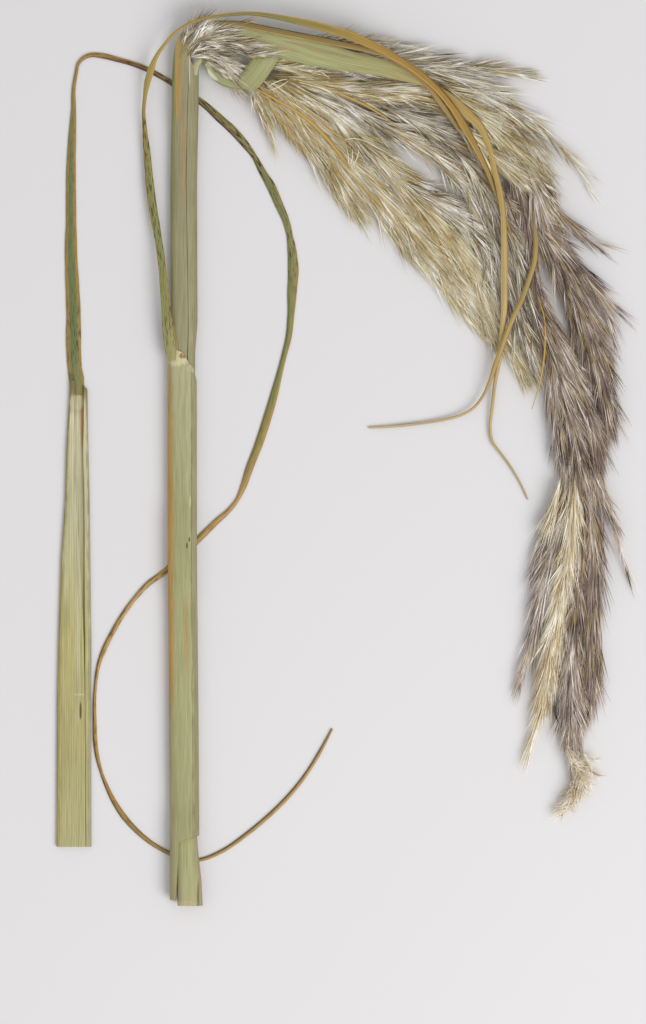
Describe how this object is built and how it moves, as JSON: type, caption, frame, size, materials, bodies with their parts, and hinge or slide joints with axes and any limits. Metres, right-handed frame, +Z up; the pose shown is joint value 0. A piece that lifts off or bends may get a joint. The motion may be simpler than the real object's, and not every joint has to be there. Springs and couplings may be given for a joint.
{
  "type": "pressed pampas grass flower stem",
  "caption": "Dried, pressed flowering stem of pampas grass that lies flat: sheathed stem, folded over at the top into a drooping feathery plume, with long curving leaf blades and a basal leaf.",
  "frame": {"origin": "middle of the plant's outline on the surface it lies on", "axes": "+Y along the straight stem from the cut end to the fold, +X from the stem towards the plume, +Z up from the surface"},
  "size_m": [0.2428, 0.3668, 0.0142],
  "materials": {
    "culm": "dried straw-green grass stem, faintly glossy, fine lengthwise fibres",
    "sheath_leaf": "dried leaf and sheath, olive green with fine parallel nerves and orange-tan margins, matte to satin",
    "strap_leaf": "dried leaf and sheath, greyish olive, a pale green strap that turns straw-coloured towards its tip, satin",
    "straw_leaf": "dried leaf blade, orange straw with darker edges, matte",
    "basal_leaf": "dried leaf, yellow-olive sheath and olive-green blade with tan and dark brown stretches, matte",
    "plume": "dried silky spikelets, silvery cream to purple-grey, with a soft sheen"
  },
  "bodies": {
    "root": {"culm": "culm", "lower_leaf": "sheath_leaf", "upper_leaf": "strap_leaf", "third_leaf_blade": "straw_leaf", "basal_leaf": "basal_leaf", "spray_throat": "plume", "spray_fringe": "plume", "spray_lobe_edge": "plume", "spray_lobe_left": "plume", "spray_lobe_right": "plume", "spray_lobe_upper": "plume", "spray_middle": "plume", "spray_shoulder": "plume", "spray_top": "plume", "spray_top_edge": "plume", "spray_right_edge": "plume", "spray_right": "plume", "spray_tail_left": "plume", "spray_tail_blond": "plume", "spray_tail_edge": "plume", "spray_tail_stray": "plume", "spray_tail_right": "plume", "spray_tail_middle": "plume", "spray_tail_tuft": "plume"}
  },
  "joints": []
}
